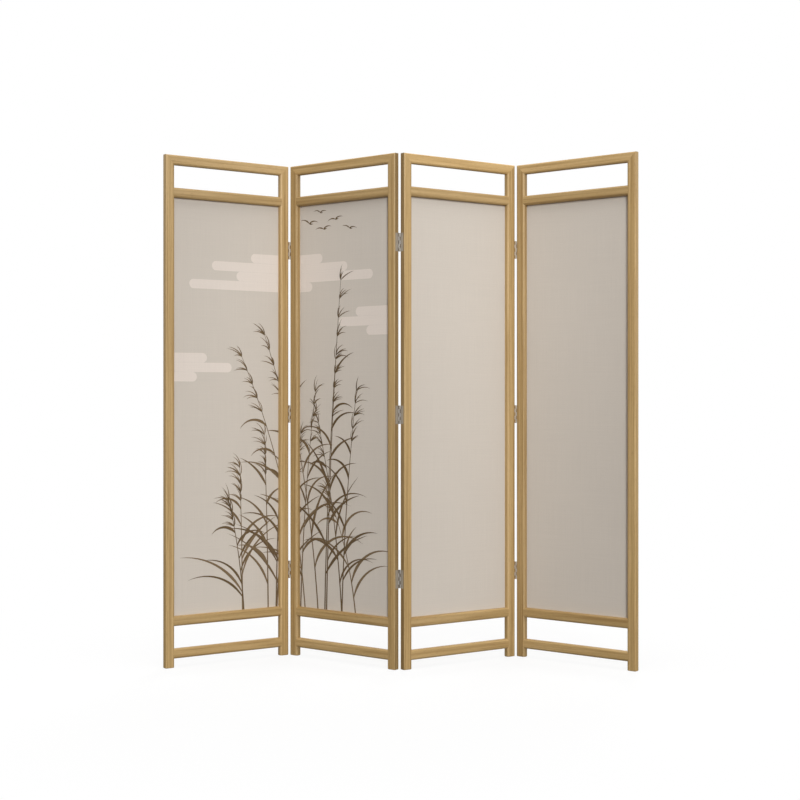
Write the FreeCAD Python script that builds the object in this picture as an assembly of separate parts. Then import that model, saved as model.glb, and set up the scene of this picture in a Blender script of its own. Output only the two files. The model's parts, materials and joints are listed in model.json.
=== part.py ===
import FreeCAD, Part
import math
import os

# A folding screen of four framed cloth panels, hinged edge to edge and standing in a zigzag.
# Each panel is built lying in its own plane (X along its width, Y from front to back, Z up)
# and is then swung to its place about the hinge pins.

# Panel and frame sizes, in millimetres
panel_height = 1800.0
panel_width = 500.0
frame_thickness = 24.0
stile_width = 35.0
top_rail_height = 35.0
middle_rail_height = 35.0
bottom_rail_height = 35.0
foot_clearance = 31.0        # floor to the bottom rail
upper_gap = 79.0             # open slot under the top rail
lower_gap = 79.0             # open slot over the bottom rail
edge_radius = 5.0            # rounding of the edges on the panel's outline
opening_radius = 8.0         # rounding of the edges round the openings
foot_chamfer = 1.5
rail_reveal = 0.5            # rails stand this far behind the stiles' faces

# Mortise and tenon joints
tenon_thickness = 8.0
tenon_height = 18.0
tenon_length = 20.0
tenon_shoulder = 5.0         # from the rail's outer edge to its tenon
mortise_clearance = 0.1      # each side of a tenon
mortise_spare = 1.0          # beyond a tenon's end

# Cloth panel, let into a rebate from the back
rebate_width = 8.0
board_thickness = 2.5
cloth_thickness = 0.5
slip_thickness = 3.0
slip_chamfer = 1.0
rebate_clearance = 0.3       # around the board, the cloths and the slips

# Butt hinges, three on each fold
hinge_length = 64.0
barrel_radius = 3.0
leaf_width = 20.0            # from the pin's axis to the leaf's free edge
leaf_thickness = 1.2
gain_depth = 1.2             # how far a leaf is let into the stile's edge
gain_clearance = 0.1
pin_offset = 1.0             # pin axis out of the panel's face
pin_clearance = 0.05
pin_tip = 0.6                # pin out of the barrel at each end
knuckle_count = 5
knuckle_gap = 0.3
barrel_sides = 8             # the many small knuckles have flats instead of a full round,
pin_sides = 16               # and so have the pins
lower_hinge_height = 315.0   # floor to the lower hinge's middle
upper_hinge_drop = 310.0     # top to the upper hinge's middle
middle_hinge_sink = 14.5     # middle hinge below the midpoint of the other two

# Pose that the screen stands in: each fold is turned this many degrees from flat
rest_fold_angle = 74.5

# Sizes that follow
half_gap = barrel_radius - gain_depth
pin_radius = barrel_radius - leaf_thickness - pin_clearance
infill_thickness = 2 * cloth_thickness + board_thickness
rail_front = rail_reveal
rail_back = frame_thickness - rail_reveal
lip_depth = rail_back - slip_thickness - infill_thickness
top_rail_bottom = panel_height - top_rail_height
upper_rail_top = top_rail_bottom - upper_gap
upper_rail_bottom = upper_rail_top - middle_rail_height
bottom_rail_top = foot_clearance + bottom_rail_height
lower_rail_bottom = bottom_rail_top + lower_gap
lower_rail_top = lower_rail_bottom + middle_rail_height
upper_hinge_height = panel_height - upper_hinge_drop
middle_hinge_height = (lower_hinge_height + upper_hinge_height) / 2 - middle_hinge_sink
hinge_heights = (lower_hinge_height, middle_hinge_height, upper_hinge_height)
past = 5.0                   # how far a cutting tool runs past the wood
tolerance = 0.01             # places and directions that differ by less are the same

X_AXIS = FreeCAD.Vector(1, 0, 0)
Y_AXIS = FreeCAD.Vector(0, 1, 0)
Z_AXIS = FreeCAD.Vector(0, 0, 1)


def block(x0, x1, y0, y1, z0, z1):
    return Part.makeBox(x1 - x0, y1 - y0, z1 - z0, FreeCAD.Vector(x0, y0, z0))


def edges_along(shape, axis):
    """The straight edges of a block that run along one axis."""
    return [edge for edge in shape.Edges
            if edge.tangentAt(edge.FirstParameter).cross(axis).Length < tolerance]


def on_outline(point):
    """Whether a point of the left stile or of the top rail lies on the panel's outline."""
    return point.x < tolerance or point.z > panel_height - tolerance


def rounded_bar(x0, x1, y0, y1, z0, z1, axis):
    """A stick of wood with its four long edges rounded, those on the panel's outline less than the rest."""
    bar = block(x0, x1, y0, y1, z0, z1)
    corners = [edge.CenterOfMass for edge in edges_along(bar, axis)]
    for radius, outer in ((edge_radius, True), (opening_radius, False)):
        places = [corner for corner in corners if on_outline(corner) == outer]
        edges = [edge for edge in edges_along(bar, axis)
                 if any(edge.CenterOfMass.isEqual(place, tolerance) for place in places)]
        if edges:
            bar = bar.makeFillet(radius, edges)
    return bar


def prism_through(points):
    """A prism of a flat outline in X and Z that runs right through the panel's thickness."""
    corners = [FreeCAD.Vector(x, -past, z) for x, z in points]
    outline = Part.makePolygon(corners + corners[:1])
    return Part.Face(outline).extrude(Y_AXIS * (frame_thickness + 2 * past))


def mirrored(shape):
    """The same shape on the other side of the panel's middle."""
    return shape.mirror(FreeCAD.Vector(panel_width / 2, 0, 0), X_AXIS)


# Frame

def plain_stile():
    return rounded_bar(0, stile_width, 0, frame_thickness, 0, panel_height, Z_AXIS)


def above_mitre():
    """Everything over the left mitre, which runs from the outer corner to the inner one."""
    return prism_through([(-stile_width, panel_height + top_rail_height),
                          (2 * stile_width, panel_height - 2 * top_rail_height),
                          (2 * stile_width, panel_height + top_rail_height)])


def below_mitre():
    return prism_through([(-stile_width, panel_height + top_rail_height),
                          (2 * stile_width, panel_height - 2 * top_rail_height),
                          (-stile_width, panel_height - 2 * top_rail_height)])


# Each tenon's lower edge: the outer sides of the middle rails keep clear of the rebate
tenon_bottoms = {
    "top": top_rail_bottom + tenon_shoulder,
    "upper": upper_rail_top - tenon_shoulder - tenon_height,
    "lower": lower_rail_bottom + tenon_shoulder,
    "bottom": foot_clearance + (bottom_rail_height - tenon_height) / 2,
}


def tenon(rail, clearance=0.0, spare=0.0):
    """A rail's left tenon, or with clearance and spare length the mortise for it."""
    front = (frame_thickness - tenon_thickness) / 2
    bottom = tenon_bottoms[rail]
    root = stile_width + (top_rail_height if rail == "top" else opening_radius)
    return block(stile_width - tenon_length - spare, root,
                 front - clearance, front + tenon_thickness + clearance,
                 bottom - clearance, bottom + tenon_height + clearance)


def rebate_cut():
    """The rebate that is cut round the cloth's opening from the back."""
    return block(stile_width - rebate_width, panel_width - stile_width + rebate_width,
                 lip_depth, frame_thickness + past,
                 lower_rail_top - rebate_width, upper_rail_bottom + rebate_width)


def left_stile():
    stile = plain_stile()
    foot_edges = [edge for edge in stile.Edges if edge.BoundBox.ZMax < foot_chamfer]
    stile = stile.makeChamfer(foot_chamfer, foot_edges)
    stile = stile.cut(above_mitre()).cut(rebate_cut())
    for rail in tenon_bottoms:
        stile = stile.cut(tenon(rail, mortise_clearance, mortise_spare))
    return stile


def top_rail():
    rail = rounded_bar(0, panel_width, 0, frame_thickness, top_rail_bottom, panel_height, X_AXIS)
    rail = rail.cut(below_mitre()).cut(mirrored(below_mitre()))
    return rail.fuse([tenon("top"), mirrored(tenon("top"))]).removeSplitter()


def coped_rail(name, bottom, height):
    """A rail whose shoulders are scribed over the rounding of the stiles, with a tenon at each end."""
    rail = rounded_bar(stile_width - opening_radius, panel_width - stile_width + opening_radius,
                       rail_front, rail_back, bottom, bottom + height, X_AXIS)
    rail = rail.cut(plain_stile()).cut(mirrored(plain_stile()))
    rail = rail.fuse([tenon(name), mirrored(tenon(name))]).removeSplitter()
    return rail.cut(rebate_cut())


# Cloth panel

infill_left = stile_width - rebate_width + rebate_clearance
infill_right = panel_width - infill_left
infill_bottom = lower_rail_top - rebate_width + rebate_clearance
infill_top = upper_rail_bottom + rebate_width - rebate_clearance


def infill_layer(front, thickness):
    return block(infill_left, infill_right, front, front + thickness, infill_bottom, infill_top)


def back_slips():
    """Four mitred strips that close the rebate behind the cloth panel."""
    front = lip_depth + infill_thickness
    width = rebate_width - rebate_clearance
    outer = [(infill_left, infill_bottom), (infill_right, infill_bottom),
             (infill_right, infill_top), (infill_left, infill_top)]
    inner = [(infill_left + width, infill_bottom + width), (infill_right - width, infill_bottom + width),
             (infill_right - width, infill_top - width), (infill_left + width, infill_top - width)]
    slips = []
    for side in range(4):
        turn = (side + 1) % 4
        outline = [outer[side], outer[turn], inner[turn], inner[side]]
        corners = [FreeCAD.Vector(x, front, z) for x, z in outline]
        face = Part.Face(Part.makePolygon(corners + corners[:1]))
        slip = face.extrude(Y_AXIS * slip_thickness)
        sight_line = (corners[2] + corners[3]) / 2 + Y_AXIS * slip_thickness
        inner_edge = [edge for edge in slip.Edges if edge.CenterOfMass.isEqual(sight_line, tolerance)]
        slips.append(slip.makeChamfer(slip_chamfer, inner_edge))
    return Part.makeCompound(slips)


# Hinges. A fold's pins stand before the front faces or behind the back faces.
# Places on a leaf are given as distances out from the stile's edge and in from that face.

def hinge_x(side, out):
    return panel_width + out if side == "right" else -out


def hinge_y(face, inwards):
    return inwards if face == "front" else frame_thickness - inwards


def hinge_block(side, face, out, inwards, z):
    xs = sorted(hinge_x(side, distance) for distance in out)
    ys = sorted(hinge_y(face, distance) for distance in inwards)
    return block(xs[0], xs[1], ys[0], ys[1], z[0], z[1])


def pin_axis(side, face, z):
    return FreeCAD.Vector(hinge_x(side, half_gap), hinge_y(face, -pin_offset), z)


def axis_prism(side, face, sides, reach, bottom, top):
    """A prism on the pin's axis whose corners are at the given reach."""
    angles = [(corner + 0.5) * 2 * math.pi / sides for corner in range(sides)]
    corners = [pin_axis(side, face, bottom) + FreeCAD.Vector(math.cos(angle), math.sin(angle), 0) * reach
               for angle in angles]
    return Part.Face(Part.makePolygon(corners + corners[:1])).extrude(Z_AXIS * (top - bottom))


def barrel_prism(side, face, radius, bottom, top):
    """A stretch of the barrel, or of its bore, with flats at the given radius from the pin's axis."""
    return axis_prism(side, face, barrel_sides, radius / math.cos(math.pi / barrel_sides), bottom, top)


def hinge_leaf(side, face, middle):
    """A leaf with its knuckles: the leaf on a panel's right edge has the outer ones."""
    first = 0 if side == "right" else 1
    bottom = middle - hinge_length / 2
    top = middle + hinge_length / 2
    pitch = hinge_length / knuckle_count
    sheet = (-gain_depth, leaf_thickness - gain_depth)
    notch = barrel_radius / math.cos(math.pi / barrel_sides) + knuckle_gap - pin_offset
    leaf = hinge_block(side, face, sheet, (notch, leaf_width - pin_offset), (bottom, top))
    for index in range(first, knuckle_count, 2):
        span = (bottom + index * pitch + knuckle_gap / 2, bottom + (index + 1) * pitch - knuckle_gap / 2)
        knuckle = barrel_prism(side, face, barrel_radius, *span)
        tab = hinge_block(side, face, sheet, (-pin_offset, notch), span)
        leaf = leaf.fuse(knuckle.fuse(tab).removeSplitter())
    bore = barrel_prism(side, face, pin_radius + pin_clearance, bottom, top)
    return leaf.removeSplitter().cut(bore)


def hinge_pin(side, face, middle):
    half = hinge_length / 2 + pin_tip
    return axis_prism(side, face, pin_sides, pin_radius, middle - half, middle + half)


def gain(side, face, middle):
    """The shallow bed of a leaf in the stile's edge."""
    half = hinge_length / 2 + gain_clearance
    return hinge_block(side, face, (-gain_depth, past),
                       (-past, leaf_width - pin_offset + gain_clearance), (middle - half, middle + half))


def on_each_height(make, side, face):
    return Part.makeCompound([make(side, face, middle) for middle in hinge_heights])


# The zigzag: which face each fold closes on, and where each panel stands

panel_count = 4
folds = range(1, panel_count)
fold_face = {fold: "front" if fold % 2 == 1 else "back" for fold in folds}


def heading(panel):
    """Panels run to the back and to the front in turn."""
    return rest_fold_angle / 2 if panel % 2 == 1 else -rest_fold_angle / 2


def turned(panel, point):
    return FreeCAD.Rotation(Z_AXIS, heading(panel)).multVec(point)


panel_origin = {1: FreeCAD.Vector(0, 0, 0)}
for fold in folds:
    left_pin = pin_axis("right", fold_face[fold], 0)
    right_pin = pin_axis("left", fold_face[fold], 0)
    panel_origin[fold + 1] = panel_origin[fold] + turned(fold, left_pin) - turned(fold + 1, right_pin)

# The screen's middle is brought to the origin: the rounded corners are its outermost points in plan
corner_centres = [panel_origin[panel] + turned(panel, FreeCAD.Vector(x, y, 0))
                  for panel in panel_origin
                  for x in (edge_radius, panel_width - edge_radius)
                  for y in (edge_radius, frame_thickness - edge_radius)]
xs = [centre.x for centre in corner_centres]
ys = [centre.y for centre in corner_centres]
middle_of_screen = FreeCAD.Vector((min(xs) + max(xs)) / 2, (min(ys) + max(ys)) / 2, 0)


def stand(panel, shape):
    """A piece of a panel, moved from the panel's own plane to where it stands."""
    place = FreeCAD.Placement(panel_origin[panel] - middle_of_screen,
                              FreeCAD.Rotation(Z_AXIS, heading(panel)))
    return shape.transformed(place.toMatrix(), True)


# All pieces, by name

pieces = {}
shared_stile = left_stile()
shared = {
    "top_rail": top_rail(),
    "upper_rail": coped_rail("upper", upper_rail_bottom, middle_rail_height),
    "lower_rail": coped_rail("lower", lower_rail_bottom, middle_rail_height),
    "bottom_rail": coped_rail("bottom", foot_clearance, bottom_rail_height),
    "front_cloth": infill_layer(lip_depth, cloth_thickness),
    "backing_board": infill_layer(lip_depth + cloth_thickness, board_thickness),
    "back_cloth": infill_layer(lip_depth + cloth_thickness + board_thickness, cloth_thickness),
    "back_slips": back_slips(),
}
for panel in panel_origin:
    stiles = {"left": shared_stile, "right": mirrored(shared_stile)}
    if panel - 1 in fold_face:
        stiles["left"] = stiles["left"].cut(on_each_height(gain, "left", fold_face[panel - 1]))
    if panel in fold_face:
        stiles["right"] = stiles["right"].cut(on_each_height(gain, "right", fold_face[panel]))
    for side, stile in stiles.items():
        pieces[f"panel_{panel}_{side}_stile"] = stand(panel, stile)
    for name, shape in shared.items():
        pieces[f"panel_{panel}_{name}"] = stand(panel, shape)

for fold, face in fold_face.items():
    name = f"fold_{fold}_hinge"
    pieces[f"{name}_left_leaves"] = stand(fold, on_each_height(hinge_leaf, "right", face))
    pieces[f"{name}_right_leaves"] = stand(fold + 1, on_each_height(hinge_leaf, "left", face))
    pieces[f"{name}_pins"] = stand(fold, on_each_height(hinge_pin, "right", face))

os.makedirs("parts", exist_ok=True)
for name, shape in pieces.items():
    shape.exportStep(f"parts/{name}.step")

for fold, face in fold_face.items():
    pin = panel_origin[fold] + turned(fold, pin_axis("right", face, 0)) - middle_of_screen
    print(f"fold {fold}: pins at x {pin.x:.4f}, y {pin.y:.4f}")
for panel in panel_origin:
    for side, x in (("left", stile_width / 2), ("right", panel_width - stile_width / 2)):
        centre = turned(panel, FreeCAD.Vector(x, frame_thickness / 2, 0))
        foot = panel_origin[panel] + centre - middle_of_screen
        print(f"panel {panel} {side} foot at x {foot.x:.4f}, y {foot.y:.4f}")
print(len(pieces), "pieces")
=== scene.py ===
# %% [markdown]
# # A folding screen of oak and linen
# Four framed panels stand in a zigzag and fold on steel butt hinges. Each frame is light oak with rounded
# edges, and a linen cloth is stretched over the thin board that the frame holds.
# The construction is loaded first and is never moved: it gives every size and place. Blender then adds what
# the eye looks for from close by, which is grain, weave, ink and hinges rolled from sheet steel.

# %% Load the construction
import json
import math
import random

import bmesh
import bpy
from mathutils import Matrix, Vector


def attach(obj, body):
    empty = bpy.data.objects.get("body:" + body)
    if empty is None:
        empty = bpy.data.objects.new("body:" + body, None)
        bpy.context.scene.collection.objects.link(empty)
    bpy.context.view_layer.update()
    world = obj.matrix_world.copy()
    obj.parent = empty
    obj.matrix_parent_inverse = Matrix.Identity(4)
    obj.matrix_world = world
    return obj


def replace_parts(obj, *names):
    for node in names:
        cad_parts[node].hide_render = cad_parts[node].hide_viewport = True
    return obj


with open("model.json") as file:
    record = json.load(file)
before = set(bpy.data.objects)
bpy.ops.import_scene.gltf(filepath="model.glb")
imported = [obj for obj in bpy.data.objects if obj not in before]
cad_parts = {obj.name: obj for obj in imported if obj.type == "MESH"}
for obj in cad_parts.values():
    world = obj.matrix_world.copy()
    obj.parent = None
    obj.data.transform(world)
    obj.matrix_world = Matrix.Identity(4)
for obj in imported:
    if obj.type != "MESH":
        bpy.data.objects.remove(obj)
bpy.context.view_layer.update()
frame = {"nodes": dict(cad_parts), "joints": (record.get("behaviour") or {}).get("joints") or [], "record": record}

nodes = frame["nodes"]

# %% [markdown]
# ## Each panel's own metres
# A panel is easiest to think about as if it hung flat on a wall: so far along, so far back, so far up.
# The panels stand at angles, so a matrix for each of them carries those plain numbers to their place. It
# could be typed in as angles, but the feet already say where a panel stands, and then nothing can disagree
# with them.

# %% Find the panels and the folds
PANELS = (1, 2, 3, 4)
FOLDS = (1, 2, 3)
UP = Vector((0, 0, 1))
foot_at = {mount["name"]: Vector(mount["pos_m"]) for mount in frame["record"]["mounts"]}


def panel_matrix(panel):
    """Carries a panel's own metres (along, back, up) to the frame's, from midway between its feet."""
    left = foot_at[f"panel_{panel}_left_foot"]
    right = foot_at[f"panel_{panel}_right_foot"]
    along = (right - left).normalized()
    turn = Matrix((along, UP.cross(along), UP)).transposed()
    return Matrix.Translation((left + right) / 2) @ turn.to_4x4()


own = {panel: panel_matrix(panel) for panel in PANELS}
heading = {panel: own[panel].to_euler().z for panel in PANELS}
pin_at = {fold: Vector(frame["joints"][fold - 1]["pos_m"]) for fold in FOLDS}
for panel in PANELS:
    print(f"panel {panel} heads {math.degrees(heading[panel]):.1f} degrees")

# %% Measure a node in a panel's own metres
def own_box(node, panel):
    """A node's lowest and highest corner in a panel's own metres."""
    to_own = own[panel].inverted()
    points = [to_own @ vertex.co for vertex in nodes[node].data.vertices]
    low = Vector([min(point[axis] for point in points) for axis in range(3)])
    high = Vector([max(point[axis] for point in points) for axis in range(3)])
    return low, high


half_panel = own_box("panel_1_right_stile", 1)[1].x
print(f"a panel is {2 * half_panel:.3f} m wide")

# %% [markdown]
# ## Writing shaders as sums
# A finish is a web of nodes, and wiring it by hand hides the idea behind it. One small class wraps a socket,
# so that `1 - mask` or `0.4 + 0.1 * grain` adds the Math nodes by itself, and its `node` method adds any
# other node.

# %% A socket that can do sums
class Wire:
    """A node's output that can be written in sums."""

    def __init__(self, socket):
        self.socket = socket
        self.tree = socket.id_data

    def node(self, kind, settings=None, sockets=None, output=0):
        """Adds any node: its settings are made first, then its sockets get values or links."""
        made = self.tree.nodes.new(kind)
        for name, value in (settings or {}).items():
            if name == "stops":
                set_stops(made.color_ramp.elements, value)
            else:
                setattr(made, name, value)
        fill(made, sockets or {})
        return Wire(made.outputs[output])

    def math(self, operation, *values):
        return self.node("ShaderNodeMath", {"operation": operation}, dict(enumerate(values)))

    def __add__(self, other):
        return self.math("ADD", self, other)

    __radd__ = __add__

    def __sub__(self, other):
        return self.math("SUBTRACT", self, other)

    def __rsub__(self, other):
        return self.math("SUBTRACT", other, self)

    def __mul__(self, other):
        return self.math("MULTIPLY", self, other)

    __rmul__ = __mul__

    def __gt__(self, other):
        return self.math("GREATER_THAN", self, other)

    def __abs__(self):
        return self.math("ABSOLUTE", self)

    def mix(self, first, second):
        """A colour that goes from the first to the second as this value goes from 0 to 1."""
        return self.node("ShaderNodeMix", {"data_type": "RGBA"}, {0: self, 6: first, 7: second}, output=2)

    def tint(self, colour):
        """A colour made lighter or darker by this value."""
        start = colour if isinstance(colour, Wire) else colour[:3]
        return self.node("ShaderNodeVectorMath", {"operation": "SCALE"}, {0: start, "Scale": self})

    def stretch(self, factors):
        """Coordinates multiplied axis by axis."""
        return self.node("ShaderNodeVectorMath", {"operation": "MULTIPLY"}, {0: self, 1: factors})

    def turned(self, rotation):
        """Coordinates turned about the origin."""
        return self.node("ShaderNodeMapping", {}, {"Vector": self, "Rotation": rotation})

    def seen_from(self, centre, turn):
        """Coordinates along, back and up from a place on a panel that is turned so far."""
        return self.node("ShaderNodeMapping", {"vector_type": "TEXTURE"}, {
            "Vector": self, "Location": centre, "Rotation": (0.0, 0.0, turn)})

    def part(self, axis):
        """One axis of the coordinates."""
        return self.node("ShaderNodeSeparateXYZ", {}, {0: self}, output=axis)

    def noise(self, factors, detail=2.0, roughness=0.5, distortion=0.0):
        """Cloudy noise, with as many clouds to a metre along each axis as the factors say."""
        return self.node("ShaderNodeTexNoise", {}, {
            "Vector": self.stretch(factors), "Scale": 1.0, "Detail": detail,
            "Roughness": roughness, "Distortion": distortion})

    def step(self, low, high):
        """A soft step from 0 at the low value to 1 at the high one."""
        return self.node("ShaderNodeMapRange", {"interpolation_type": "SMOOTHSTEP"},
                         {"Value": self, "From Min": low, "From Max": high})

    def bump(self, strength, distance):
        return self.node("ShaderNodeBump", {}, {"Strength": strength, "Distance": distance, "Height": self})


# %% Fill a node and begin a finish
def fill(made, sockets):
    """Gives a node's inputs their values, or links the wires to them."""
    for name, value in sockets.items():
        if isinstance(value, Wire):
            made.id_data.links.new(value.socket, made.inputs[name])
        else:
            made.inputs[name].default_value = value


def set_stops(elements, stops):
    """Gives a colour ramp its stops, a place and a colour each."""
    while len(elements) < len(stops):
        elements.new(1.0)
    for element, (place, colour) in zip(elements, stops):
        element.position = place
        element.color = colour


def begin(name):
    """A new material, its shader and a wire of its Object coordinates."""
    material = bpy.data.materials.new(name)
    material.use_nodes = True
    tree = material.node_tree
    coordinates = tree.nodes.new("ShaderNodeTexCoord")
    return material, tree.nodes["Principled BSDF"], Wire(coordinates.outputs["Object"])


def srgb(red, green, blue):
    """A colour as it is read off a screen, from 0 to 255, in the linear light that shaders use."""
    shares = [value / 255 for value in (red, green, blue)]
    linear = [share / 12.92 if share <= 0.04045 else ((share + 0.055) / 1.055) ** 2.4 for share in shares]
    return (*linear, 1.0)


print(f"a screen's middle grey is {srgb(128, 128, 128)[0]:.3f} in linear light")

# %% [markdown]
# ## Oak
# The frames are light oak under a thin satin lacquer. A photograph could be wrapped round them, but every
# stick would then show the same board. Noise that is stretched a long way along the grain gives each stick
# its own figure instead, because each one lies elsewhere in the same block of imagined wood.
# Three sizes of mark make it oak: broad bands of tone, fine growth lines, and short dark pores that also
# dent it. A mark's size is given as so many to a metre along the stick, across it and through it.

# %% The colours and marks of oak
OAK_LIGHT = srgb(209, 176, 123)
OAK_MIDDLE = srgb(193, 160, 106)
OAK_DARK = srgb(172, 138, 86)
OAK_PORE = srgb(128, 96, 58)
BOARD_MARKS = (0.35, 7.0, 7.0)
FIGURE_MARKS = (1.3, 95.0, 95.0)
FIBRE_MARKS = (9.0, 620.0, 620.0)
PORE_MARKS = (55.0, 1500.0, 1500.0)
GROWTH_STRETCH = (0.035, 1.0, 1.0)
GROWTH_LINES = 52.0
print(f"a pore is about {1000 / PORE_MARKS[0]:.0f} mm long and {1000 / PORE_MARKS[1]:.1f} mm wide")

# %% The oak finish
def toned(colour, tone):
    """A colour that is made lighter or darker."""
    return (*(tone * value for value in colour[:3]), 1.0)


def oak_on(shader, grain, tone=1.0, shade=None):
    """Makes a shader oak whose grain runs along X of the given coordinates, darkened by a wire of painted shade.
    """
    board = grain.noise(BOARD_MARKS)
    figure = grain.noise(FIGURE_MARKS, detail=4.0, roughness=0.55, distortion=0.5)
    growth = grain.node("ShaderNodeTexWave", {"bands_direction": "Y"}, {
        "Vector": grain.stretch(GROWTH_STRETCH), "Scale": GROWTH_LINES, "Distortion": 9.0,
        "Detail": 3.0, "Detail Scale": 0.9, "Detail Roughness": 0.6}, output=1)
    fibre = grain.noise(FIBRE_MARKS, detail=3.0, roughness=0.6)
    pores = grain.noise(PORE_MARKS, detail=1.0).step(0.62, 0.74)
    mark = 0.9 * figure + 0.34 * board + 0.16 * growth + 0.2 * fibre - 0.28
    stops = ((0.34, toned(OAK_DARK, tone)), (0.52, toned(OAK_MIDDLE, tone)), (0.70, toned(OAK_LIGHT, tone)))
    wood = mark.node("ShaderNodeValToRGB", {"stops": stops}, {"Fac": mark})
    colour = (0.5 * pores).mix(wood, toned(OAK_PORE, tone))
    height = 0.5 * fibre + 0.25 * growth - 0.9 * pores
    fill(shader, {
        "Base Color": shade.tint(colour) if shade else colour,
        "Roughness": 0.40 + 0.12 * fibre + 0.15 * pores,
        "Normal": height.bump(0.22, 0.0004),
        "Specular IOR Level": 0.42,
    })


def oak(name, lay, tone):
    """Oak for one stick. Lay turns the frame's axes so that X runs along the stick."""
    material, shader, place = begin(name)
    oak_on(shader, place.turned(lay), tone)
    return material


# %% [markdown]
# ## Oak for each stick
# Not all sticks are cut from one plank, so each kind of stick has a tone of its own, and so do a few single ones.
# Two of those, the left stiles of the second and the fourth panel, are darker as painted shade of the fold beside
# them. One oak for all would be simpler, but a frame of one even tone looks cast and not joined.
# Where two panels meet, the sides of their stiles get painted shade: a darker tone that stands in for the shade
# falling in the notch between them. The two outermost sides get none. A mask could be painted by hand, but a
# panel's own metres already say how far out a point is, and a soft step makes the painted shade from that.

# %% Oak for the rails
RAIL_TONES = {"top_rail": 0.96, "upper_rail": 0.80, "lower_rail": 0.84, "bottom_rail": 0.92}
# Tones of single sticks from other planks, except the left stiles of panels 2 and 4, whose lower tone is painted
# shade of the fold beside them.
PLANK_TONES_AND_PAINTED_SHADE = {"panel_1_top_rail": 0.90, "panel_3_top_rail": 1.06,
                "panel_2_left_stile": 0.80, "panel_2_right_stile": 0.87,
                "panel_3_right_stile": 0.88, "panel_4_left_stile": 0.78}


def rail_oak(panel, rail):
    """Oak whose grain runs along the panel."""
    stick = f"panel_{panel}_{rail}"
    tone = PLANK_TONES_AND_PAINTED_SHADE.get(stick, RAIL_TONES[rail])
    return oak(f"oak_{stick}", (0.0, 0.0, -heading[panel]), tone)


# Two of the counted sticks are darker as painted shade, not because they come from other planks.
print(len(PLANK_TONES_AND_PAINTED_SHADE), "sticks are cut from other planks")

# %% Oak for the stiles
STANDING = (0.0, math.radians(90), 0.0)
STILE_TONE = 0.92
SIDE_PAINTED_SHADE = 0.32
SIDE_PAINTED_SHADE_STARTS = 0.0035
OUTERMOST = ("panel_1_left_stile", "panel_4_right_stile")


def stile_oak(panel, stile):
    """Oak whose grain runs upright, with painted shade on the side where the next panel is."""
    stick = f"panel_{panel}_{stile}"
    material, shader, place = begin(f"oak_{stick}")
    shade = None
    # Painted shade: the side that faces the next panel is darkened in its colour, for the shade of the notch.
    if stick not in OUTERMOST:
        along = place.seen_from(own[panel].translation, heading[panel]).part("X")
        shade = 1 - SIDE_PAINTED_SHADE * abs(along).step(half_panel - SIDE_PAINTED_SHADE_STARTS, half_panel)
    oak_on(shader, place.turned(STANDING), PLANK_TONES_AND_PAINTED_SHADE.get(stick, STILE_TONE), shade)
    return material


print(f"the shade of a side starts {1000 * SIDE_PAINTED_SHADE_STARTS:.1f} mm from the edge")

# %% [markdown]
# ## Oak that turns a corner
# The slips on the back are four thin strips mitred at the corners, and the grain turns the corner with them.
# All four share one node, so the finish works out from its place which strip a point is on: past the line at
# 45 degrees it is an end strip and the grain runs level, and otherwise it runs upright.

# %% Oak for the slips
def mitred_oak(name, panel):
    """Oak for the four slips on a panel's back."""
    material, shader, place = begin(name)
    low, high = own_box(f"panel_{panel}_back_slips", panel)
    half_width = (high.x - low.x) / 2
    half_height = (high.z - low.z) / 2
    flat = place.seen_from(own[panel] @ ((low + high) / 2), heading[panel])
    on_end = (abs(flat.part("Z")) - abs(flat.part("X"))) > half_height - half_width
    grain = on_end.node("ShaderNodeMix", {"data_type": "VECTOR"},
                        {0: on_end, 4: flat.turned(STANDING), 5: flat}, output=1)
    oak_on(shader, grain)
    return material


slips_low, slips_high = own_box("panel_1_back_slips", 1)
print(f"the slips frame {slips_high.x - slips_low.x:.3f} by {slips_high.z - slips_low.z:.3f} m")

# %% Dress the sticks of wood
oak_of = {}
for panel in PANELS:
    for stile in ("left_stile", "right_stile"):
        oak_of[f"panel_{panel}_{stile}"] = stile_oak(panel, stile)
    for rail in RAIL_TONES:
        oak_of[f"panel_{panel}_{rail}"] = rail_oak(panel, rail)
    oak_of[f"panel_{panel}_backing_board"] = oak(f"oak_board_{panel}", STANDING, STILE_TONE)
    oak_of[f"panel_{panel}_back_slips"] = mitred_oak(f"oak_slips_{panel}", panel)
for node, material in oak_of.items():
    slots = nodes[node].data.materials
    slots.clear()
    slots.append(material)
print(len(oak_of), "nodes dressed in oak")

# %% [markdown]
# ## Pieces
# Every new piece is drawn in a panel's own metres, carried to its place, and set to ride on that panel's
# body, so that it swings with the panel. Smooth shading with sharp creases at the corners suits sheet metal
# and cloth.

# %% From a shape to a piece
CREASE = math.radians(35)


def piece_of(name, shape, material, panel):
    """Carries a bmesh from a panel's own metres to its place and makes it a piece that rides on the panel."""
    shape.transform(own[panel])
    bmesh.ops.recalc_face_normals(shape, faces=shape.faces)
    mesh = bpy.data.meshes.new(name)
    shape.to_mesh(mesh)
    shape.free()
    mesh.materials.append(material)
    mesh.shade_smooth()
    mesh.set_sharp_from_angle(angle=CREASE)
    piece = bpy.data.objects.new(name, mesh)
    bpy.context.scene.collection.objects.link(piece)
    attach(piece, f"panel_{panel}")
    return piece


print(f"corners sharper than {math.degrees(CREASE):.0f} degrees stay crisp")

# %% [markdown]
# ## Linen
# The cloth is a plain weave, one thread over and one under, and linen thread is uneven, so here and there a
# thread swells into a slub. Real threads as geometry would be millions of faces. The weave is a finish
# instead: two rows of round threads take turns on top, and noise that is stretched along each thread makes
# the slubs. It follows a UV map in metres, so that it stays square to the cloth on every panel.

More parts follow.
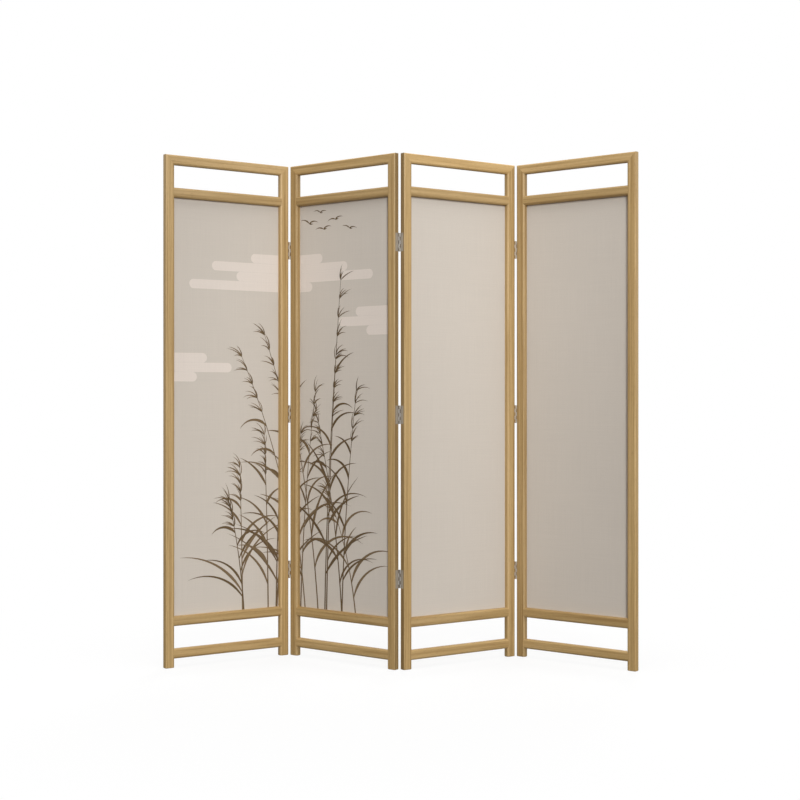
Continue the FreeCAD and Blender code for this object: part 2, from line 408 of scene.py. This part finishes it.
# %% The linen finish
LINEN = srgb(207, 198, 187)
THREAD = 0.0012
WEAVE_MAP = "cloth"
WARP_SLUBS = (420.0, 5.0, 1.0)
WEFT_SLUBS = (5.0, 420.0, 1.0)
LINEN_CLOUDS = (3.0, 3.0, 1.0)


def linen_on(shader, place, colour):
    """Makes a shader linen of one colour, or of a wire of colours."""
    cloth = place.node("ShaderNodeUVMap", {"uv_map": WEAVE_MAP})
    across = cloth.part("X")
    up = cloth.part("Y")
    warp = abs(across.math("SINE", across * (math.pi / THREAD)))
    weft = abs(up.math("SINE", up * (math.pi / THREAD)))
    over = cloth.node("ShaderNodeTexChecker", {}, {"Vector": cloth, "Scale": 1 / THREAD}, output=1)
    weave = over * warp + (1 - over) * weft
    warp_slub = cloth.noise(WARP_SLUBS, detail=3.0, roughness=0.6)
    weft_slub = cloth.noise(WEFT_SLUBS, detail=3.0, roughness=0.6)
    cloud = cloth.noise(LINEN_CLOUDS)
    # The weave term paints each thread's crown lighter and the dips between threads darker: painted shade of the
    # weave's relief. Slubs and clouds are the linen's own tone.
    shade = 0.86 + 0.06 * weave + 0.10 * warp_slub + 0.10 * weft_slub + 0.03 * cloud
    height = weave + 0.5 * warp_slub + 0.5 * weft_slub
    fill(shader, {
        "Base Color": shade.tint(colour),
        "Roughness": 0.92 - 0.10 * weave,
        "Normal": height.bump(0.25, 0.0003),
        "Specular IOR Level": 0.2,
        "Sheen Weight": 0.08,
        "Sheen Roughness": 0.5,
    })


def linen(name, colour):
    material, shader, place = begin(name)
    linen_on(shader, place, colour)
    return material


plain_linen = linen("plain_linen", LINEN)
print(f"the linen has {0.01 / THREAD:.0f} threads to a centimetre")

# %% [markdown]
# ## Stretched cloths
# Each board has a cloth on its front and one on its back, both stretched flat. One large face would look the
# same, but a cloth should have points to bend at, so it is a grid of small squares with the thickness of the
# cloth. Its rim hides in the rebate behind the frame.

# %% Stretch the cloths
CELL = 0.010
PRINTED = (1, 2)


def map_weave(shape):
    """Gives every corner of a shape its own metres along and up as the weave's map."""
    weave = shape.loops.layers.uv.new(WEAVE_MAP)
    for face in shape.faces:
        for loop in face.loops:
            loop[weave].uv = (loop.vert.co.x, loop.vert.co.z)


def stretched_cloth(panel, side):
    """A cloth over one side of a board, and its flat size."""
    node = f"panel_{panel}_{side}_cloth"
    low, high = own_box(node, panel)
    size = high - low
    shape = bmesh.new()
    bmesh.ops.create_grid(shape, x_segments=round(size.x / CELL), y_segments=round(size.z / CELL), size=0.5)
    bmesh.ops.scale(shape, vec=(size.x, size.z, 1.0), verts=shape.verts)
    bmesh.ops.rotate(shape, matrix=Matrix.Rotation(math.radians(90), 3, "X"), verts=shape.verts)
    bmesh.ops.translate(shape, vec=(low + high) / 2 - Vector((0, size.y / 2, 0)), verts=shape.verts)
    bmesh.ops.solidify(shape, geom=shape.faces[:], thickness=size.y)
    map_weave(shape)
    cloth = piece_of(f"panel_{panel}_{side}_linen", shape, plain_linen, panel)
    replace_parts(cloth, node)
    return cloth, (size.x, size.z)


for panel in PANELS:
    for side in ("front", "back"):
        stretched_cloth(panel, side)

# %% [markdown]
# ## The print
# A print runs over the front cloths of the first two panels: brown reeds with feathered heads, pale banks of
# mist, and a few birds over them. It could be worked out in the finish, but a bake would blur such thin
# strokes. Each stroke is drawn as a very thin leaf of ink on the cloth: an edge is extruded step by step,
# turning as it goes, and its width swells and thins like a brush. A seeded die varies the plants, so they are
# the same every time.

# %% What an extrusion made
def new_points(result):
    """The vertices among what an operator made."""
    return [item for item in result["geom"] if isinstance(item, bmesh.types.BMVert)]


def far_edge(result):
    """The far side of an edge that was extruded."""
    fresh = new_points(result)
    return next(item for item in result["geom"] if isinstance(item, bmesh.types.BMEdge)
                and item.verts[0] in fresh and item.verts[1] in fresh)


# %% A brush
INK_THICKNESS = 0.00004
LAYER = 0.00003
TIP_WIDTH = 0.0002


def brush_stroke(picture, start, aim, length, bend, widths, steps, tone):
    """Draws one stroke from a start, and returns where it went as points and directions."""
    shade = picture.verts.layers.float["tone"]
    point = Vector(start)
    edge = None
    trail = []
    for step in range(steps + 1):
        across = Vector((-math.sin(aim), 0, math.cos(aim))) * widths(step / steps) / 2
        if edge is None:
            edge = picture.edges.new([picture.verts.new(point), picture.verts.new(point)])
        else:
            edge = far_edge(bmesh.ops.extrude_edge_only(picture, edges=[edge]))
        edge.verts[0].co = point - across
        edge.verts[1].co = point + across
        for end in edge.verts:
            end[shade] = tone
        trail.append((point.copy(), aim))
        point += Vector((math.cos(aim), 0, math.sin(aim))) * length / steps
        aim += bend / steps
    return trail


def leaf_widths(width):
    """A stroke that swells soon after its start and runs out to a point."""
    return lambda share: TIP_WIDTH + width * (1 - share) ** 0.8 * min(1.0, 0.25 + 3.2 * share)


def stem_widths(width):
    """A stroke that only thins."""
    return lambda share: width * (1 - 0.75 * share)


print(f"the ink is {1000 * INK_THICKNESS:.2f} mm thick")

# %% The parts of a reed
UPRIGHT = math.radians(90)
GROUND = own_box("panel_1_front_cloth", 1)[0].z
ROOT_DEPTH = 0.02
STEM_WIDTH = 0.006
STEM_STEPS = 18
LEAFY = range(3, 14, 2)
HEAD_STARTS = 14
LEAF_LENGTHS = (0.16, 0.34)
LEAF_WIDTHS = (0.010, 0.015)
LEAF_STEPS = 12
HAIRS = 5
HAIR_LENGTHS = (0.035, 0.07)
HAIR_WIDTHS = (0.004, 0.006)
HAIR_STEPS = 5
die = random.Random(11)


def some_angle(low, high):
    """A throw of the die between two angles in degrees."""
    return math.radians(die.uniform(low, high))


def leaf(picture, root, aim, size, tone):
    """A long leaf that arches over to one side."""
    turn = die.choice((-1, 1))
    length = die.uniform(*LEAF_LENGTHS) * size
    start = aim - turn * some_angle(14, 34)
    bend = -turn * some_angle(35, 110)
    widths = leaf_widths(die.uniform(*LEAF_WIDTHS))
    brush_stroke(picture, root, start, length, bend, widths, LEAF_STEPS, tone + die.uniform(-0.1, 0.1))


def tuft(picture, root, aim, side, tone):
    """A tuft of short hairs that nod to one side."""
    for hair in range(HAIRS):
        start = aim - side * die.uniform(-0.5, 0.9)
        length = die.uniform(*HAIR_LENGTHS)
        bend = -side * some_angle(30, 80)
        widths = leaf_widths(die.uniform(*HAIR_WIDTHS))
        brush_stroke(picture, root, start, length, bend, widths, HAIR_STEPS, tone + die.uniform(0.0, 0.25))


def reed(picture, foot, height, lean, layer, tone):
    """One reed: a stem, long leaves that arch over, and a feathered head that nods to one side."""
    side = -1 if lean < 0 else 1
    start = (foot, -layer * LAYER, GROUND - ROOT_DEPTH)
    widths = stem_widths(STEM_WIDTH)
    stem = brush_stroke(picture, start, UPRIGHT - lean * 0.3, height, -lean, widths, STEM_STEPS, tone)
    for index in LEAFY:
        root, aim = stem[index]
        leaf(picture, root, aim, 1.15 - index / 20, tone)
    for root, aim in stem[HEAD_STARTS:]:
        tuft(picture, root, aim, side, tone)


print(f"a reed has {len(LEAFY)} leaves, and its foot is {GROUND - ROOT_DEPTH:.3f} m up")

# %% Draw the reeds
REEDS = 13
FIRST_REED_LAYER = 4
REED_FEET = (0.02, 0.62)
REED_HEIGHTS = (0.35, 0.7)
CLUMP_AT = 0.40
CLUMP_HALF = 0.13
CLUMP_RISE = 0.55


def draw_reeds():
    """A stand of reeds that grow taller towards the middle of the clump."""
    picture = bmesh.new()
    picture.verts.layers.float.new("tone")
    for layer in range(REEDS):
        foot = die.uniform(*REED_FEET)
        height = die.uniform(*REED_HEIGHTS)
        height += CLUMP_RISE * math.exp(-((foot - CLUMP_AT) / CLUMP_HALF) ** 2)
        lean = some_angle(-34, 10)
        reed(picture, foot, height, lean, layer + FIRST_REED_LAYER, die.uniform(0.0, 0.55))
    return picture


reeds = draw_reeds()
print(REEDS, "reeds with", len(reeds.faces), "faces")

# %% Draw the birds
BIRDS = ((0.335, 1.585, 0.046), (0.405, 1.560, 0.042), (0.462, 1.592, 0.040), (0.530, 1.556, 0.037),
         (0.388, 1.622, 0.034))
WING_STEPS = 10
WING_TONE = 0.2
BODY_STEPS = 6
BODY_TONE = 0.1
BODY_DIP = math.radians(8)


def draw_birds(picture):
    """A skein of birds far off: two wings that rise and droop, and a short body."""
    for layer, (along, height, span) in enumerate(BIRDS, start=1):
        place = (along, -layer * LAYER, height)
        climb = some_angle(-14, 14)
        for side in (-1, 1):
            aim = UPRIGHT - side * some_angle(48, 60) + climb
            droop = -side * some_angle(55, 80)
            widths = leaf_widths(span * 0.15)
            brush_stroke(picture, place, aim, span, droop, widths, WING_STEPS, WING_TONE)
        widths = leaf_widths(span * 0.17)
        brush_stroke(picture, place, climb - BODY_DIP, span * 0.42, 0.3, widths, BODY_STEPS, BODY_TONE)


draw_birds(reeds)
print(len(BIRDS), "birds")

# %% Draw the mist
BAND = 0.034
MIST_BANKS = (
    (1.455, ((0.100, 0.400), (-0.060, 0.520), (0.040, 0.640), (-0.150, 0.350))),
    (1.090, ((-0.240, -0.080), (-0.240, 0.020), (-0.240, -0.120))),
    (1.255, ((0.560, 0.740), (0.480, 0.740), (0.610, 0.740))),
)


def draw_mist():
    """Banks of level bands with round ends, one under the other, as mist is drawn."""
    picture = bmesh.new()
    turn = Matrix.Rotation(math.radians(90), 4, "X")
    for top, bands in MIST_BANKS:
        for row, (left, right) in enumerate(bands):
            centre = Vector(((left + right) / 2, -LAYER / 4, top - row * BAND))
            rim = bmesh.ops.create_circle(picture, cap_ends=True, segments=32, radius=BAND / 2,
                                          matrix=Matrix.Translation(centre) @ turn)["verts"]
            for vertex in rim:
                vertex.co.x += math.copysign((right - left - BAND) / 2, vertex.co.x - centre.x)
    return picture


mist = draw_mist()
print(len(mist.faces), "bands of mist in", len(MIST_BANKS), "banks")

# %% Lay a print on a cloth
PITCH = 2 * (own[1].inverted() @ pin_at[1]).x


def trim(picture, low, high):
    """Cuts a picture off at the edges of a cloth."""
    for point, normal in ((low, (-1, 0, 0)), (low, (0, 0, -1)), (high, (1, 0, 0)), (high, (0, 0, 1))):
        geometry = picture.verts[:] + picture.edges[:] + picture.faces[:]
        bmesh.ops.bisect_plane(picture, geom=geometry, plane_co=point, plane_no=normal, clear_outer=True)


def print_on(panel, name, picture, material):
    """Lays a picture on a panel's front cloth as a thin skin of ink."""
    low, high = own_box(f"panel_{panel}_front_cloth", panel)
    bmesh.ops.translate(picture, vec=(-(panel - 1) * PITCH, low.y, 0), verts=picture.verts)
    trim(picture, low, high)
    bmesh.ops.recalc_face_normals(picture, faces=picture.faces)
    for face in picture.faces:
        if face.normal.y > 0:
            face.normal_flip()
    bmesh.ops.solidify(picture, geom=picture.faces[:], thickness=-INK_THICKNESS)
    map_weave(picture)
    return piece_of(f"panel_{panel}_{name}", picture, material, panel)


print(f"the print goes on in the next panel {PITCH:.3f} m along")

INK_DARK = srgb(96, 77, 53)
INK_LIGHT = srgb(140, 118, 90)
MIST_PALE = srgb(226, 215, 205)


def ink(name):
    """Inked linen, darker or lighter from stroke to stroke."""
    material, shader, place = begin(name)
    tone = place.node("ShaderNodeAttribute", {"attribute_name": "tone"}, output="Fac")
    linen_on(shader, place, tone.mix(INK_DARK, INK_LIGHT))
    return material


reed_ink = ink("reed_ink")
mist_ink = linen("mist_ink", MIST_PALE)
for panel in PANELS:
    if panel in PRINTED:
        print_on(panel, "mist_print", mist.copy(), mist_ink)
        print_on(panel, "reed_print", reeds.copy(), reed_ink)
reeds.free()
mist.free()

# %% [markdown]
# ## Hinge steel
# The hinges are sheet steel with a dull plating. Steel is all reflection, so its finish is mostly a matter of
# roughness: high enough to spread the white of the room into an even grey, with a fine brushing along the leaf and
# faint clouds where the plating is thinner. The knuckles of the first and the third fold stand out in front, and
# their steel is painted lighter, a painted reflection of the bright room before them. Those of the middle fold lie
# deep in its notch, and their steel is painted darker, as painted shade for the notch.

# %% The steel finish
LEAF_STEEL = srgb(184, 176, 164)
PAINTED_LIGHT_KNUCKLE = srgb(172, 158, 138)
PAINTED_SHADE_KNUCKLE = srgb(126, 120, 112)
BRUSHING_MARKS = (900.0, 900.0, 40.0)
PLATING_CLOUDS = (90.0, 90.0, 90.0)


def steel(name, colour, roughness):
    material, shader, place = begin(name)
    brushing = place.noise(BRUSHING_MARKS)
    cloud = place.noise(PLATING_CLOUDS, detail=3.0)
    fill(shader, {
        "Base Color": (0.86 + 0.14 * brushing + 0.08 * cloud).tint(colour),
        "Metallic": 1.0,
        "Roughness": roughness + 0.16 * brushing + 0.08 * cloud,
        "Normal": brushing.bump(0.08, 0.0001),
    })
    return material


leaf_steel = steel("leaf_steel", LEAF_STEEL, roughness=0.50)
# The knuckle colours are painted light and painted shade: lighter for the folds in front, darker for the middle
# fold's notch.
knuckle_painted_light = steel("painted_light_knuckle_steel", PAINTED_LIGHT_KNUCKLE, roughness=0.42)
knuckle_painted_shade = steel("painted_shade_knuckle_steel", PAINTED_SHADE_KNUCKLE, roughness=0.30)
knuckle_steel = {1: knuckle_painted_light, 2: knuckle_painted_shade, 3: knuckle_painted_light}
for fold in FOLDS:
    print("the knuckles of fold", fold, "are", knuckle_steel[fold].name)

# %% [markdown]
# ## Butt hinges
# A leaf is cut from sheet, and its tongues are rolled round the pin into knuckles. A box beside a tube would
# do from afar, but up close the rolled seam is what makes it a hinge, so it is modelled as it is made: the
# sheet's edge is spun round the pin's line to make the rolled eye, and the flat outline is extruded upwards.
# The plate is filled round three holes, which are made narrower on the side of the wood, so that they are
# countersunk. Distances are from the pin: inwards over the stile's edge, and out from it.

# %% Measure the hinges
SHEET = 0.0012
KNUCKLES = 5
KNUCKLE_GAP = 0.0003
HINGES_APART = 0.1


def hinge_spans(fold):
    """The bottom and the top of each of a fold's hinges."""
    vertices = nodes[f"fold_{fold}_hinge_left_leaves"].data.vertices
    heights = sorted({round(vertex.co.z, 5) for vertex in vertices})
    spans = [[heights[0], heights[0]]]
    for height in heights:
        if height - spans[-1][1] > HINGES_APART:
            spans.append([height, height])
        spans[-1][1] = height
    return spans


pin_own = own[1].inverted() @ pin_at[1]
leaf_low, leaf_high = own_box("fold_1_hinge_left_leaves", 1)
barrel = pin_own.x - leaf_low.x
leaf_reach = leaf_high.y - pin_own.y
notch = barrel + 2 * KNUCKLE_GAP
print(f"barrel radius {1000 * barrel:.2f} mm, leaf reach {1000 * leaf_reach:.2f} mm")
print("the hinges of a fold go from and to", hinge_spans(1))

# %% Cut the flat of a leaf
HOLE_TOP = 0.0031
HOLE_FOOT = 0.0018
HOLES = ((-0.022, 0.0095), (0.0, 0.0135), (0.022, 0.0095))
ROUND_SIDES = 24


def ring_edges(shape, radius, place):
    """The edges of a circle of wire."""
    ring = bmesh.ops.create_circle(shape, segments=ROUND_SIDES, radius=radius, matrix=place)["verts"]
    return list(dict.fromkeys(edge for vertex in ring for edge in vertex.link_edges))


def narrow(shape, points, centre, share):
    """Draws points in towards a centre."""
    bmesh.ops.scale(shape, vec=(share, share, share), verts=points, space=Matrix.Translation(-centre))


def plate(shape, bottom, top):
    """The flat of a leaf: filled round its holes, given the sheet's thickness, and countersunk."""
    outer = SHEET - barrel
    middle = (bottom + top) / 2
    corners = ((notch, bottom), (leaf_reach, bottom), (leaf_reach, top), (notch, top))
    rim = [shape.verts.new((inwards, outer, height)) for inwards, height in corners]
    edges = [shape.edges.new((rim[index - 1], rim[index])) for index in range(len(rim))]
    facing = Matrix.Rotation(math.radians(90), 4, "X")
    for rise, depth in HOLES:
        edges += ring_edges(shape, HOLE_TOP, Matrix.Translation((depth, outer, middle + rise)) @ facing)
    filled = bmesh.ops.triangle_fill(shape, edges=edges, use_beauty=True)["geom"]
    face = [item for item in filled if isinstance(item, bmesh.types.BMFace)]
    deep = new_points(bmesh.ops.extrude_face_region(shape, geom=face, use_keep_orig=True))
    bmesh.ops.translate(shape, vec=(0, -SHEET, 0), verts=deep)
    for rise, depth in HOLES:
        centre = Vector((depth, outer - SHEET, middle + rise))
        foot = [vertex for vertex in deep if (vertex.co - centre).length < HOLE_TOP * 1.01]
        narrow(shape, foot, centre, HOLE_FOOT / HOLE_TOP)


print(len(HOLES), "holes in a leaf,", f"{2000 * HOLE_FOOT:.1f} mm wide at the wood")

# %% Roll a knuckle
ROLL = math.radians(-338)
ROLL_STEPS = 30


def knuckle(shape, bottom, top):
    """A tongue of the sheet that is rolled round the pin, in a bmesh of its own."""
    tongue = [shape.verts.new((notch, -barrel, bottom)), shape.verts.new((notch, SHEET - barrel, bottom))]
    bend = far_edge(bmesh.ops.extrude_edge_only(shape, edges=[shape.edges.new(tongue)]))
    for vertex in bend.verts:
        vertex.co.x = 0.0
    bmesh.ops.spin(shape, geom=[bend], cent=(0, 0, bottom), axis=UP, angle=ROLL, steps=ROLL_STEPS)
    raised = new_points(bmesh.ops.extrude_face_region(shape, geom=shape.faces[:], use_keep_orig=True))
    bmesh.ops.translate(shape, vec=(0, 0, top - bottom), verts=raised)


print(f"a knuckle is rolled through {abs(math.degrees(ROLL)):.0f} degrees")

# %% Put the leaves together
def add_to(shape, part):
    """Moves what is in one bmesh into another."""
    between = bpy.data.meshes.new("between")
    part.to_mesh(between)
    part.free()
    shape.from_mesh(between)
    bpy.data.meshes.remove(between)


def leaf_matrix(fold, panel):
    """From a leaf's distances (inwards, out, up) to a panel's own metres, at the fold's pin."""
    pin_place = own[panel].inverted() @ pin_at[fold]
    inwards = 1 if pin_place.y < 0 else -1
    outwards = 1 if pin_place.x > 0 else -1
    turn = Matrix(((0, outwards, 0), (inwards, 0, 0), (0, 0, 1))).to_4x4()
    return Matrix.Translation((pin_place.x, pin_place.y, 0)) @ turn


def leaves(fold, panel, first):
    """A fold's three leaves on one panel; first is the lowest of their knuckles."""
    shape = bmesh.new()
    for bottom, top in hinge_spans(fold):
        pitch = (top - bottom + KNUCKLE_GAP) / KNUCKLES
        plate(shape, bottom, top)
        for index in range(first, KNUCKLES, 2):
            eye = bmesh.new()
            knuckle(eye, bottom + index * pitch, bottom + (index + 1) * pitch - KNUCKLE_GAP)
            for face in eye.faces:
                face.material_index = 1
            add_to(shape, eye)
    shape.transform(leaf_matrix(fold, panel))
    return shape


for fold in FOLDS:
    for side, panel, first in (("left", fold, 0), ("right", fold + 1, 1)):
        name = f"fold_{fold}_{side}_rolled_leaves"
        rolled = piece_of(name, leaves(fold, panel, first), leaf_steel, panel)
        rolled.data.materials.append(knuckle_steel[fold])
        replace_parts(rolled, f"fold_{fold}_hinge_{side}_leaves")
        print(name, "has", len(rolled.data.polygons), "faces")

# %% [markdown]
# ## Pins and screws
# A pin is turned, so its outline is spun round its line: a rod with a low dome at each end. The screws are
# countersunk, and their heads lie just under the face of the leaf. A bump could hint at the cross in a head,
# but it would be gone in the bare mesh, so the cross is cut into each of them.

# %% Turn the pins
PIN_DOME = 0.0006
PIN_SIDES = 28
SAME_POINT = 1e-7


def pin(shape, radius, bottom, top):
    """A rod with a low dome at each end."""
    profile = ((0.0, bottom), (radius * 0.6, bottom + PIN_DOME * 0.25), (radius, bottom + PIN_DOME),
               (radius, top - PIN_DOME), (radius * 0.6, top - PIN_DOME * 0.25), (0.0, top))
    points = [shape.verts.new((out, 0, height)) for out, height in profile]
    edges = [shape.edges.new(pair) for pair in zip(points, points[1:])]
    bmesh.ops.spin(shape, geom=points + edges, cent=(0, 0, 0), axis=UP, angle=math.tau, steps=PIN_SIDES,
                   use_merge=True)


for fold in FOLDS:
    node = f"fold_{fold}_hinge_pins"
    low, high = own_box(node, fold)
    spans = hinge_spans(fold)
    tip = high.z - spans[-1][1]
    shape = bmesh.new()
    for bottom, top in spans:
        pin(shape, (high.x - low.x) / 2, bottom - tip, top + tip)
    bmesh.ops.remove_doubles(shape, verts=shape.verts, dist=SAME_POINT)
    shape.transform(leaf_matrix(fold, fold))
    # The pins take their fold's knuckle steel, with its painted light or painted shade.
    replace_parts(piece_of(f"fold_{fold}_turned_pins", shape, knuckle_steel[fold], fold), node)
    print(len(spans), "pins in fold", fold)

# %% Shape a screw
HEAD = 0.0029
SHANK = 0.0015
SLOT_HALF = 0.00045
SLOT_LONG = 0.0017
SLOT_DEEP = 0.0009
SUNK = 0.00008


def close(shape, points):
    """Closes the loop of edges between some points with a face."""
    loop = [edge for edge in shape.edges if edge.verts[0] in points and edge.verts[1] in points]
    bmesh.ops.contextual_create(shape, geom=loop)


def screw(shape, depth, height, turn):
    """A countersunk head with a cross cut into it, facing out of the leaf."""
    top = SHEET - barrel - SUNK
    place = Matrix.Translation((depth, top, height)) @ Matrix.Rotation(math.radians(-90), 4, "X")
    rim = ring_edges(shape, HEAD, place)
    arm = ((SLOT_HALF, SLOT_HALF), (SLOT_HALF, SLOT_LONG), (-SLOT_HALF, SLOT_LONG))
    cross = []
    for quarter in range(4):
        spin = Matrix.Rotation(quarter * math.pi / 2 + turn, 4, "Z")
        cross += [shape.verts.new(place @ (spin @ Vector((x, y, 0)))) for x, y in arm]
    slot = [shape.edges.new((cross[index - 1], cross[index])) for index in range(len(cross))]
    bmesh.ops.triangle_fill(shape, edges=rim + slot, use_beauty=True)
    bed = new_points(bmesh.ops.extrude_edge_only(shape, edges=slot))
    bmesh.ops.translate(shape, vec=(0, -SLOT_DEEP, 0), verts=bed)
    close(shape, bed)
    foot = new_points(bmesh.ops.extrude_edge_only(shape, edges=rim))
    bmesh.ops.translate(shape, vec=(0, -SHEET, 0), verts=foot)
    narrow(shape, foot, Vector((depth, top - SHEET, height)), SHANK / HEAD)
    close(shape, foot)


print(f"a screw's head is {2000 * HEAD:.1f} mm wide")

# %% Drive the screws
for fold in FOLDS:
    for side, panel in (("left", fold), ("right", fold + 1)):
        shape = bmesh.new()
        for bottom, top in hinge_spans(fold):
            for rise, depth in HOLES:
                one = bmesh.new()
                screw(one, depth, (bottom + top) / 2 + rise, die.uniform(0, math.pi / 2))
                add_to(shape, one)
        shape.transform(leaf_matrix(fold, panel))
        screws = piece_of(f"fold_{fold}_{side}_screws", shape, leaf_steel, panel)
        print(screws.name, "has", len(screws.data.polygons), "faces")

# %% [markdown]
# ## Floor and ground
# The screen stands on a white floor before a white ground. Strong light could burn both out to white, but it
# would burn the cloths out too. Instead they are white to the camera by themselves, and a small share of the
# floor near the feet is paper that takes the soft shadow.

# %% The floor
FLOOR_RADIUS = 14.0
FLOOR_DROP = 0.0003
SHADOW_NEAR = 0.7
SHADOW_FAR = 2.2
SHADOW_SHARE = 0.14
WHITE = (1.0, 1.0, 1.0, 1.0)
PAPER = (0.9, 0.9, 0.9, 1.0)
DIM_FLOOR = (0.11, 0.11, 0.11, 1.0)


def floor_finish():
    """White to the camera with a soft shadow near the feet, and dim to the light that bounces off it."""
    material, shader, place = begin("white_floor")
    tree = material.node_tree
    fill(shader, {"Base Color": DIM_FLOOR, "Roughness": 0.9, "Specular IOR Level": 0.1})
    away = place.node("ShaderNodeVectorMath", {"operation": "LENGTH"}, {0: place}, output="Value")
    camera_ray = place.node("ShaderNodeLightPath", output="Is Camera Ray")
    paper = place.node("ShaderNodeBsdfDiffuse", {}, {"Color": PAPER})
    glow = place.node("ShaderNodeEmission", {}, {"Color": WHITE, "Strength": 1.0})
    share = (1 - SHADOW_SHARE) + SHADOW_SHARE * away.step(SHADOW_NEAR, SHADOW_FAR)
    seen = share.node("ShaderNodeMixShader", {}, {0: share, 1: paper, 2: glow})
    surface = seen.node("ShaderNodeMixShader", {}, {0: camera_ray, 1: Wire(shader.outputs[0]), 2: seen})
    tree.links.new(surface.socket, tree.nodes["Material Output"].inputs["Surface"])
    return material


floor_shape = bmesh.new()
bmesh.ops.create_circle(floor_shape, cap_ends=True, segments=96, radius=FLOOR_RADIUS)
bmesh.ops.translate(floor_shape, vec=(0, 0, -FLOOR_DROP), verts=floor_shape.verts)
floor_mesh = bpy.data.meshes.new("floor")
floor_shape.to_mesh(floor_mesh)
floor_shape.free()
floor_mesh.materials.append(floor_finish())
floor = bpy.data.objects.new("floor", floor_mesh)
bpy.context.scene.collection.objects.link(floor)
print(f"a floor {2 * FLOOR_RADIUS:.0f} m across")

# %% The ground behind it
AMBIENT = 0.10
world = bpy.data.worlds.new("studio")
bpy.context.scene.world = world
world.use_nodes = True
sky = world.node_tree
dim = Wire(sky.nodes["Background"].outputs[0])
fill(sky.nodes["Background"], {"Color": WHITE, "Strength": AMBIENT})
bright = dim.node("ShaderNodeBackground", {}, {"Color": WHITE, "Strength": 1.0})
seen_ray = dim.node("ShaderNodeLightPath", output="Is Camera Ray")
gloss_ray = dim.node("ShaderNodeLightPath", output="Is Glossy Ray")
glass_ray = dim.node("ShaderNodeLightPath", output="Is Transmission Ray")
shown = seen_ray.math("MAXIMUM", seen_ray, seen_ray.math("MAXIMUM", gloss_ray, glass_ray))
ground = dim.node("ShaderNodeMixShader", {}, {0: shown, 1: dim, 2: bright})
sky.links.new(ground.socket, sky.nodes["World Output"].inputs["Surface"])
print("the ground lights the screen at", AMBIENT, "and shows as white")

# %% [markdown]
# ## Light and camera
# A light from the front fills all the cloths, a weaker one from the right makes the panels that face it
# brighter than their neighbours, and a wide one from above draws the rounding of the rails. One from behind
# lights the back for those who walk round the screen. It leaves no gloss, which would shine on the low rails
# in front. A small spot lifts the tops of the third and fourth panel. Area lamps would do as well, but a
# broad sun lights all four panels alike, however far they stand from it.

# %% The lights
SPOT_RADIUS = 0.3


def lamp_of(name, kind, power):
    lamp = bpy.data.lights.new(name, kind)
    lamp.energy = power
    light = bpy.data.objects.new(name, lamp)
    bpy.context.scene.collection.objects.link(light)
    return lamp, light


def broad_light(name, azimuth, elevation, spread, power):
    """Soft light from one side of the sky: degrees to the right of the front, above the floor, and across."""
    lamp, light = lamp_of(name, "SUN", power)
    lamp.angle = math.radians(spread)
    right = math.radians(azimuth)
    up = math.radians(elevation)
    towards = Vector((math.sin(right) * math.cos(up), -math.cos(right) * math.cos(up), math.sin(up)))
    light.rotation_euler = towards.to_track_quat("Z", "Y").to_euler()
    return light


def spot_light(name, place, target, cone, power):
    """A soft-edged spot from a place to a target."""
    lamp, light = lamp_of(name, "SPOT", power)
    lamp.spot_size = math.radians(cone)
    lamp.spot_blend = 1.0
    lamp.shadow_soft_size = SPOT_RADIUS
    light.location = place
    light.rotation_euler = (Vector(target) - Vector(place)).to_track_quat("-Z", "Y").to_euler()


broad_light("front", azimuth=10, elevation=12, spread=12, power=1.82)
broad_light("right", azimuth=62, elevation=12, spread=30, power=0.34)
broad_light("above", azimuth=0, elevation=80, spread=60, power=2.30)
behind = broad_light("behind", azimuth=170, elevation=14, spread=20, power=2.20)
behind.visible_glossy = False
spot_light("top_right", place=(0.6, -2.4, 3.0), target=(0.42, 0.0, 1.75), cone=46, power=58.0)
print(len(bpy.data.lights), "lights")

# %% The camera
SENSOR = 36.0
LENS = 67.33
CAMERA_AT = Vector((0.1818, -5.3587, 0.9395))
CAMERA_YAW = math.radians(1.98)
optics = bpy.data.cameras.new("camera")
optics.sensor_width = SENSOR
optics.lens = LENS
camera = bpy.data.objects.new("camera", optics)
camera.location = CAMERA_AT
camera.rotation_euler = (math.radians(90), 0.0, CAMERA_YAW)
bpy.context.scene.collection.objects.link(camera)
bpy.context.scene.camera = camera
bpy.context.scene.view_settings.view_transform = "Standard"
print(f"the camera stands {CAMERA_AT.length:.2f} m away and sees {math.degrees(optics.angle):.0f} degrees")
